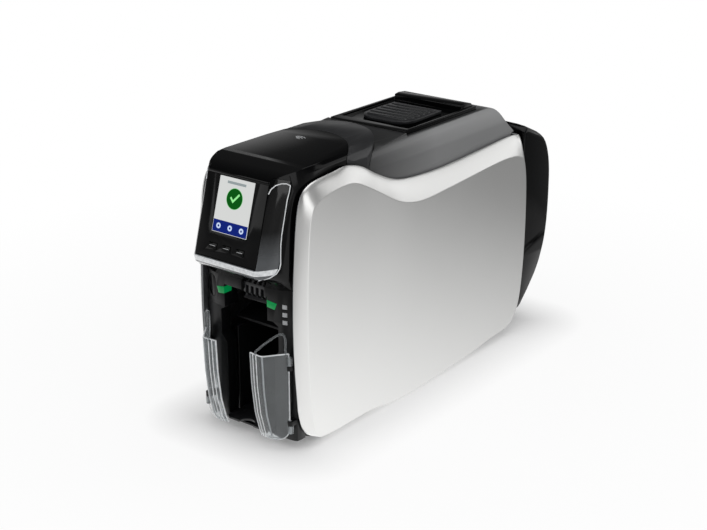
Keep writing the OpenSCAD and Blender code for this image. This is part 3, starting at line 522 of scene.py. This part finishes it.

# %% [markdown]
# The foot of the surround is thick clear plastic that shows a bright band along the chin. A slice of the
# same mesh, cut at two heights with the bisect operator and swollen by a hair, carries the glowing edge
# finish as a painted highlight of that band.

# %% Cut the painted highlight at the foot of the surround
slice_low, slice_high, slice_swell = 0.1872, 0.1925, 0.06
foot = merged_copy("display_surround")
for height, outwards in ((slice_low, -1), (slice_high, 1)):
    bmesh.ops.bisect_plane(foot, geom=foot.verts[:] + foot.edges[:] + foot.faces[:], dist=0.000001,
                           plane_co=(0, 0, height), plane_no=(0, 0, outwards), clear_outer=True)
    rim = [e for e in foot.edges if e.is_boundary]
    bmesh.ops.holes_fill(foot, edges=rim)
bmesh.ops.recalc_face_normals(foot, faces=foot.faces)
for vert in foot.verts:
    vert.co += vert.normal * slice_swell * MM
publish("surround_foot_highlight", foot, "clear_edge", bodies["display_surround"], smooth=38)
print("foot of the surround cut")

# %% [markdown]
# ### The two clear doors
# Each door is one clear wall, bent into a lip in front and a side behind it, and it leans forward towards
# the top. The loft helper draws it from plan outlines at rising heights. Three tables give what was
# measured at each height in millimetres: how far forward the corner lies, how far out it lies, and what
# share of the side is there, which is less at the rounded foot.

# %% Write the door helpers
door_front = [(11, -217.5), (20, -221), (40, -226.5), (69, -230.2), (104, -231.7)]
door_corner = [(11, 34), (16, 37.5), (104, 37.5)]
door_cut = [(11, 0.35), (13, 0.6), (16, 0.82), (20, 0.95), (26, 1), (104, 1)]
lip_end, lip_back, door_rear = 22.5, 1.4, Vector((53.4, -210.7))


def table(z, rows):
    """A value between the rows of a table, by straight lines."""
    for (z0, a), (z1, b) in zip(rows, rows[1:]):
        if z <= z1:
            return a + (b - a) * (z - z0) / (z1 - z0)
    return rows[-1][1]


def door_line(z, radius=3.0):
    """The door's middle line seen from above: lip end, round corner, rear edge."""
    corner = Vector((table(z, door_corner), table(z, door_front)))
    tip = Vector((lip_end, corner.y + lip_back))
    rear = corner + table(z, door_cut) * (door_rear - corner)
    a = corner + (tip - corner).normalized() * radius
    b = corner + (rear - corner).normalized() * radius
    bend = [(1 - t) ** 2 * a + 2 * t * (1 - t) * corner + t * t * b for t in (0, 0.2, 0.4, 0.6, 0.8, 1)]
    return [tip] + bend + [rear]


def wall_ring(z, half):
    """The outline of a thin wall on both sides of the line."""
    line = door_line(z)
    left, right = [], []
    for i, p in enumerate(line):
        along = (line[min(i + 1, len(line) - 1)] - line[max(i - 1, 0)]).normalized()
        side = half * Vector((-along.y, along.x))
        left.append(p + side)
        right.append(p - side)
    return [Vector((p.x, p.y - case_mid, z)) * MM for p in left + right[::-1]]


def tube(points, radius, count=12):
    """Rings round a line of points in mm, ready for the loft."""
    points = [Vector(p) for p in points]
    rings = []
    for i, p in enumerate(points):
        along = points[min(i + 1, len(points) - 1)] - points[max(i - 1, 0)]
        turn = along.to_track_quat("Z", "X")
        rings.append([(p + turn @ (radius * Vector((math.cos(a), math.sin(a), 0)))) * MM
                      for a in (2 * math.pi * k / count for k in range(count))])
    return rings


def mirrored_rings(rings, side):
    """The rings as they are on the right, and mirrored on the left, where side is -1."""
    return [[Vector((side * p.x, p.y, p.z)) for p in ring] for ring in rings]


def join(parts):
    """One bmesh from several."""
    whole = bmesh.new()
    for part in parts:
        mesh = bpy.data.meshes.new("part")
        part.to_mesh(mesh)
        part.free()
        whole.from_mesh(mesh)
        bpy.data.meshes.remove(mesh)
    return whole


print("door outlines from", door_front[0][0], "to", door_front[-1][0], "mm")

# %% [markdown]
# A bent stay joins the lip and the rear edge above each door, and two knuckles hold the door on its pin.
# They are one moulding with the wall, so they share its mesh. Bright lines run up the lip's free edge,
# its two ribs, the corner and the rear edge, and round the foot and the rim. They are painted highlights:
# tubes of the glowing edge finish that ride on the same body, so they open with the door.

# %% Build the doors
levels = [11, 11.6, 12.4, 13.4, 15, 17, 20, 23, 26, 30, 35, 40, 48, 56, 64, 72, 80, 88, 96, 104]
stay = [(30, -231.8, 102.3), (30, -231.3, 107.3), (34, -226.8, 112.5), (38, -222.5, 116.8),
        (42, -218.3, 120.7), (46, -214.8, 123.7), (49.2, -213, 123.9), (51.4, -212.8, 120.3),
        (51.6, -212.7, 101.8)]
wall_half, stay_radius, rim_glint, rib_out = 1.0, 1.2, 0.75, 0.8
pin_x, pin_y = 54, -210
knuckle_feet = (20, 92)
knuckle = ((1.35, 0), (3, 0), (3, 8), (1.35, 8))  # radius and height above its foot
# Each upright line is a painted highlight along a clear edge, drawn as a glowing tube.
upright_beads = (  # two points of the door line, the share between them, and the bead's radius
    (0, 0, 0, 0.85), (0, 1, 0.35, 0.6), (0, 1, 0.7, 0.6), (4, 4, 0, 0.85), (7, 7, 0, 0.75))
for side, name in ((1, "hopper_door_right"), (-1, "hopper_door_left")):
    wall = loft(mirrored_rings([wall_ring(z, wall_half) for z in levels], side))
    round_edges(wall, 0.35, angle=50)
    rod = loft(mirrored_rings(tube([(x, y - case_mid, z) for x, y, z in stay], stay_radius), side))
    parts = [wall, rod]
    for low in knuckle_feet:
        rings = [[Vector((side * (pin_x + r * math.cos(a)), pin_y - case_mid + r * math.sin(a),
                          low + up)) * MM
                  for a in (2 * math.pi * k / 24 for k in range(24))] for r, up in knuckle]
        parts.append(loft(rings))
    door = publish(name + "_shell", join(parts), "clear", bodies[name], [name], smooth=40)
    glints = []
    for a, b, share, radius in upright_beads:
        line = []
        for z in levels:
            p = door_line(z)[a].lerp(door_line(z)[b], share)
            line.append((p.x, p.y - case_mid - (rib_out if share else 0), z))
        glints.append(loft(mirrored_rings(tube(line, radius), side)))
    for z in (levels[3], levels[-1]):
        line = [(p.x, p.y - case_mid, z) for p in door_line(z)]
        glints.append(loft(mirrored_rings(tube(line, rim_glint), side)))
    publish(name + "_beads", join(glints), "clear_edge", bodies[name], smooth=60)
    print(door.name, len(door.data.polygons), "faces")

# %% [markdown]
# ### The bright edges of the surround
# A clear moulding shows as a bright line wherever its cut edge catches light, and here that line is a
# painted
# highlight: a thin glowing tube. The line follows the rear and top edge of the surround over the rounded
# corner of the hood. A small function gives the hood's width at any height and depth, from where its flat
# front ends to where its side is full, and the tube runs along the points that it returns.

# %% Draw the edges
hood_front = [(166, -213), (176, -219), (181, -231.6), (186, -238), (191, -239.5), (196, -237.8),
              (262, -218.4), (290, -210.2)]
hood_back = [(166, -200), (196, -194), (262, -182), (290, -150)]
lean = math.radians(16.4)
foot_y, foot_z = -237.6, 196
flat_half, corner_width, corner_power = 37, 22.2, 1.4
edge_glint = 0.5


def on_hood(back, up):
    """A point on the hood's corner, from its place behind and up along the screen, in mm."""
    y = foot_y + back * math.cos(lean) + up * math.sin(lean)
    z = foot_z - back * math.sin(lean) + up * math.cos(lean)
    rear, front = table(z, hood_back), table(z, hood_front)
    share = min(1, max(0, (y - rear) / (front - rear)))
    x = flat_half + corner_width * (1 - share ** corner_power) ** (1 / corner_power)
    return Vector((x, y - case_mid, z))


rear_edge = [(9, -12.4), (13, -8), (17, -3), (18.6, 2), (18.8, 7), (17.4, 14), (15.8, 24), (14.9, 34),
             (14.4, 50), (13.9, 67), (14.5, 74), (15.2, 80)]
top_edge = [(15.2, 80), (12, 81), (8, 80.4), (4, 78), (1.5, 74), (0.5, 69)]
for side, word in ((1, "right"), (-1, "left")):
    lines = [loft(mirrored_rings(tube([on_hood(*p) for p in edge], edge_glint), side))
             for edge in (rear_edge, top_edge)]
    publish("surround_edge_" + word, join(lines), "clear_edge", bodies["display_surround"], smooth=60)
print("surround edges drawn")

# %% [markdown]
# ## The lit screen
# The screen shows a pale page with a tick in a green disc, and a blue bar with three round signs. The
# signs are generic. Each is a thin plate that sits a few hundredths of a millimetre above the one behind
# it. They are drawn flat, in the screen's own frame, and then leaned back with it.

# %% Draw the page and its signs
screen_foot = Vector((0, foot_y - case_mid, foot_z)) * MM


def on_screen(x, up, out):
    """A place on the screen: across, up along the glass, and out towards the viewer, in mm."""
    return screen_foot + Vector((x, up * math.sin(lean) - out * math.cos(lean),
                                 up * math.cos(lean) + out * math.sin(lean))) * MM


def plate(name, outline, out, material, thick=0.08, hole=None, body="chassis"):
    """A thin plate on the screen from its outline, seen by the viewer; a hole makes it a ring."""
    bm = bmesh.new()
    loops = [outline] + ([hole] if hole else [])
    edges = []
    for loop in loops:
        verts = [bm.verts.new(on_screen(x, up, out)) for x, up in loop]
        edges += [bm.edges.new((verts[i - 1], verts[i])) for i in range(len(verts))]
    if hole:
        bmesh.ops.bridge_loops(bm, edges=edges)
    else:
        bmesh.ops.contextual_create(bm, geom=edges)
    made = bmesh.ops.extrude_face_region(bm, geom=bm.faces[:])["geom"]
    back = on_screen(0, 0, -thick) - on_screen(0, 0, 0)
    bmesh.ops.translate(bm, vec=back, verts=[g for g in made if isinstance(g, bmesh.types.BMVert)])
    bmesh.ops.recalc_face_normals(bm, faces=bm.faces)
    return publish(name, bm, material, body)


def disc(x, up, radius, count=40):
    """The outline of a disc on the screen."""
    turns = [2 * math.pi * i / count for i in range(count)]
    return [(x + radius * math.cos(turn), up + radius * math.sin(turn)) for turn in turns]


def box(half, low, high, x=0):
    """The outline of an upright rectangle on the screen."""
    return [(x - half, low), (x + half, low), (x + half, high), (x - half, high)]


page_half, page_foot, page_top, bar_foot, bar_top = 21.2, 35.0, 75.3, 23.4, 34.7
disc_up, sign_up, sign_x = 57.0, 29.2, 14.2
plate("screen_page", box(page_half, page_foot, page_top), -0.05, "screen")
plate("screen_bar", box(page_half, bar_foot, bar_top), -0.05, "screen_blue")
plate("screen_disc", disc(0, disc_up, 9.6, 64), 0.02, "screen_green")
plate("screen_ring", disc(0, disc_up, 10.0, 64), 0.01, "screen_ring", hole=disc(0, disc_up, 9.5, 64))
tick = [(-5.6, 57.2), (-4.2, 58.6), (-1.6, 55.6), (4.6, 62.6), (6.0, 61.2), (-1.5, 52.8)]
plate("screen_tick_sign", tick, 0.08, "screen_tick")
plate("screen_line", box(11.5, 70.2, 72.6), 0.02, "screen_grey")
for i, x in enumerate((-sign_x, 0, sign_x)):
    plate(f"screen_sign_{i}", disc(x, sign_up, 2.7), 0.02, "screen_white", hole=disc(x, sign_up, 1.1))

# %% [markdown]
# ## The printed signs
# Each key has a short pale line, and the hood's top has three arcs as a generic wave. The lines are plates
# like those of the screen and ride on their keys, so they go down with them. The hood's top slopes a little,
# and the arcs are thin tubes that follow that slope.

# %% Draw the printed signs
key_x, line_half, line_low, line_high, line_out = 17, 3.4, 9.2, 9.8, 0.66
for i, (x, key) in enumerate(((-key_x, "key_left"), (0, "key_middle"), (key_x, "key_right"))):
    plate(f"key_sign_{i}", box(line_half, line_low, line_high, x), line_out, "white_mark", body=key)
wave_x, wave_y, wave_z, wave_slope, wave_bead = 8, -122, 284.7, 0.052, 0.5
angles = [math.radians(d) for d in range(-44, 45, 11)]
for i, size in enumerate((3.0, 5.8, 8.6)):
    arc = [(size * math.sin(a) - wave_x, wave_y - case_mid + size * math.cos(a),
            wave_z + wave_slope * size * math.cos(a)) for a in angles]
    publish(f"wave_sign_{i}", loft(tube(arc, wave_bead, 8)), "white_mark", bodies["front_hood"], smooth=60)
print("three key lines and", i + 1, "arcs")

# %% [markdown]
# ## Floor, world and lamps
# The photograph is a plain studio picture: a white ground, a soft shadow under the machine and wide
# lamps. A large disc is the floor here. It could be a lit white plane, but then the light that makes it
# white would bleach the machine too. So its material asks a Light Path node which ray has met it, and
# answers the camera, a reflection and the lamps' light each in its own way.

# %% Lay the floor
floor_radius, plain_white = 14.0, (1, 1, 1, 1)
bm = bmesh.new()
bmesh.ops.create_circle(bm, cap_ends=True, segments=96, radius=floor_radius)
floor_mesh = bpy.data.meshes.new("floor")
bm.to_mesh(floor_mesh)
bm.free()
floor = bpy.data.objects.new("floor", floor_mesh)
bpy.context.scene.collection.objects.link(floor)
ground = bpy.data.materials.new("pale_ground")
ground.use_nodes = True
floor_mesh.materials.append(ground)
tree = ground.node_tree
shader = tree.nodes["Principled BSDF"]
shader.inputs["Base Color"].default_value = (0.95, 0.95, 0.95, 1)
shader.inputs["Roughness"].default_value = 0.9
shader.inputs["Specular IOR Level"].default_value = 0.1
place = add(tree, "ShaderNodeTexCoord")
rays = add(tree, "ShaderNodeLightPath")
print("floor radius", floor_radius)

# %% [markdown]
# ### The ground that the camera sees
# Rays from the camera get the floor's own lit colour mixed with plain white, so the ground is white and
# still keeps the shadow. There is a little less white round the machine, and much less within seven
# centimetres of it, so the floor there is darker even where it is lit: a painted shadow that deepens the
# rendered one. That distance is taken from a rectangle under the machine: the point's absolute place less
# the half size of the rectangle, kept above zero, and the length of what is left, which makes the corners
# round.

# %% Measure how much white the camera gets
shadow_half, shadow_reach, least_white = (0.06, 0.205, 0), 0.07, 0.22
far = add(tree, "ShaderNodeVectorMath", operation="LENGTH")
open_ground = add(tree, "ShaderNodeMapRange", From_Min=0.22, From_Max=0.7, To_Min=0.88, To_Max=1.0)
tree.links.new(place.outputs["Object"], far.inputs[0])
tree.links.new(far.outputs["Value"], open_ground.inputs["Value"])
size = add(tree, "ShaderNodeVectorMath", operation="ABSOLUTE")
past = add(tree, "ShaderNodeVectorMath", operation="SUBTRACT")
past.inputs[1].default_value = shadow_half
beyond = add(tree, "ShaderNodeVectorMath", operation="MAXIMUM")
outside = add(tree, "ShaderNodeVectorMath", operation="LENGTH")
for here, there in ((place.outputs["Object"], size), (size.outputs[0], past), (past.outputs[0], beyond),
                    (beyond.outputs[0], outside)):
    tree.links.new(here, there.inputs[0])
# Less white near the machine paints the floor darker there: a painted shadow.
near = add(tree, "ShaderNodeMapRange", From_Min=0.0, From_Max=shadow_reach, To_Min=least_white, To_Max=1.0)
dimmed = add(tree, "ShaderNodeMath", operation="MULTIPLY")
seen = add(tree, "ShaderNodeMath", operation="MULTIPLY")
tree.links.new(outside.outputs["Value"], near.inputs["Value"])
tree.links.new(near.outputs["Result"], dimmed.inputs[0])
tree.links.new(open_ground.outputs["Result"], dimmed.inputs[1])
tree.links.new(rays.outputs["Is Camera Ray"], seen.inputs[0])
tree.links.new(dimmed.outputs[0], seen.inputs[1])
print("white from", least_white, "at the machine to 1 in the open")

# %% [markdown]
# ### The ground that reflections see
# The silver panel and the gloss black show the studio more than their own colour. In the photograph the
# grey of the panel is uneven, as it is where a studio's floor has dark ends. So reflections meet a
# glowing ground that is brightest beside the printer's front, darkens towards its rear, and darkens again
# well in front of it.

# %% Grade the reflected ground
depth = add(tree, "ShaderNodeSeparateXYZ")
card = add(tree, "ShaderNodeMapRange", From_Min=-0.15, From_Max=0.62, To_Min=1.32, To_Max=0.19)
ahead = add(tree, "ShaderNodeMapRange", From_Min=-0.75, From_Max=-0.2, To_Min=0.35, To_Max=1.0)
level = add(tree, "ShaderNodeMath", operation="MULTIPLY")
graded = add(tree, "ShaderNodeEmission")
graded.inputs["Color"].default_value = plain_white
tree.links.new(place.outputs["Object"], depth.inputs[0])
tree.links.new(depth.outputs["Y"], card.inputs["Value"])
tree.links.new(depth.outputs["Y"], ahead.inputs["Value"])
tree.links.new(card.outputs["Result"], level.inputs[0])
tree.links.new(ahead.outputs["Result"], level.inputs[1])
tree.links.new(level.outputs[0], graded.inputs["Strength"])
print("reflected ground from", *[round(card.inputs[end].default_value, 2) for end in ("To Min", "To Max")])

# %% [markdown]
# Two Mix Shader nodes put the three answers together: the first chooses between the lit floor and the
# graded one, the second lays the white over it for the camera.

# %% Mix the ground
white = add(tree, "ShaderNodeEmission")
white.inputs["Color"].default_value = plain_white
mirrored_ground = add(tree, "ShaderNodeMixShader")
blend = add(tree, "ShaderNodeMixShader")
tree.links.new(rays.outputs["Is Glossy Ray"], mirrored_ground.inputs[0])
tree.links.new(shader.outputs[0], mirrored_ground.inputs[1])
tree.links.new(graded.outputs[0], mirrored_ground.inputs[2])
tree.links.new(seen.outputs[0], blend.inputs[0])
tree.links.new(mirrored_ground.outputs[0], blend.inputs[1])
tree.links.new(white.outputs[0], blend.inputs[2])
tree.links.new(blend.outputs[0], tree.nodes["Material Output"].inputs["Surface"])
print("ground has", len(tree.nodes), "nodes")

# %% [markdown]
# ### The world
# The world gives gentle light to the machine from all sides. The camera, and rays that pass through the
# clear parts, see plain white instead, and reflections see a ceiling that darkens upwards, as a studio's
# does. The view transform is set to Standard, so that white stays white and colours render about as they
# are written.

# %% Set the world
world = bpy.data.worlds.new("studio")
bpy.context.scene.world = world
world.use_nodes = True
tree = world.node_tree
soft = tree.nodes["Background"]
soft.inputs["Color"].default_value = plain_white
soft.inputs["Strength"].default_value = 0.30
bright = add(tree, "ShaderNodeBackground", Strength=1.0)
bright.inputs["Color"].default_value = plain_white
ceiling = add(tree, "ShaderNodeBackground")
ceiling.inputs["Color"].default_value = plain_white
way = add(tree, "ShaderNodeTexCoord")
parts = add(tree, "ShaderNodeSeparateXYZ")
height = add(tree, "ShaderNodeMapRange", From_Min=0.0, From_Max=0.35, To_Min=0.5, To_Max=0.08)
tree.links.new(way.outputs["Generated"], parts.inputs[0])
tree.links.new(parts.outputs["Z"], height.inputs["Value"])
tree.links.new(height.outputs["Result"], ceiling.inputs["Strength"])
rays = add(tree, "ShaderNodeLightPath")
either = add(tree, "ShaderNodeMath", operation="MAXIMUM")
shown = add(tree, "ShaderNodeMixShader")
blend = add(tree, "ShaderNodeMixShader")
tree.links.new(rays.outputs["Is Camera Ray"], either.inputs[0])
tree.links.new(rays.outputs["Is Transmission Ray"], either.inputs[1])
tree.links.new(rays.outputs["Is Glossy Ray"], shown.inputs[0])
tree.links.new(soft.outputs[0], shown.inputs[1])
tree.links.new(ceiling.outputs[0], shown.inputs[2])
tree.links.new(either.outputs[0], blend.inputs[0])
tree.links.new(shown.outputs[0], blend.inputs[1])
tree.links.new(bright.outputs[0], blend.inputs[2])
tree.links.new(blend.outputs[0], tree.nodes["World Output"].inputs["Surface"])
bpy.context.scene.view_settings.view_transform = "Standard"
print("world strength", soft.inputs["Strength"].default_value)


# %% [markdown]
# ### The lamps
# Soft shadows need wide lamps. Four area lamps look at the middle of the printer: one above, one beside
# the right panel, one in front on the left and one behind.

# %% Hang the lamps
lamp_target = Vector((0, 0, 0.15))


def lamp(name, place, size, power):
    """A wide soft lamp that looks at the middle of the printer."""
    light = bpy.data.lights.new(name, "AREA")
    light.shape = "RECTANGLE"
    light.size, light.size_y = size
    light.energy = power
    holder = bpy.data.objects.new(name, light)
    bpy.context.scene.collection.objects.link(holder)
    holder.location = place
    holder.rotation_mode = "QUATERNION"
    holder.rotation_quaternion = (lamp_target - Vector(place)).to_track_quat("-Z", "Y")


lamp("top_lamp", (0.2, 0.1, 1.9), (1.6, 1.6), 13)
lamp("side_lamp", (2.0, -0.5, 1.0), (1.4, 1.4), 10)
lamp("front_lamp", (-0.9, -1.9, 1.1), (1.2, 1.2), 8)
lamp("rear_lamp", (1.1, 1.9, 0.95), (1.8, 1.3), 8)
print(len(bpy.data.lights), "lamps")
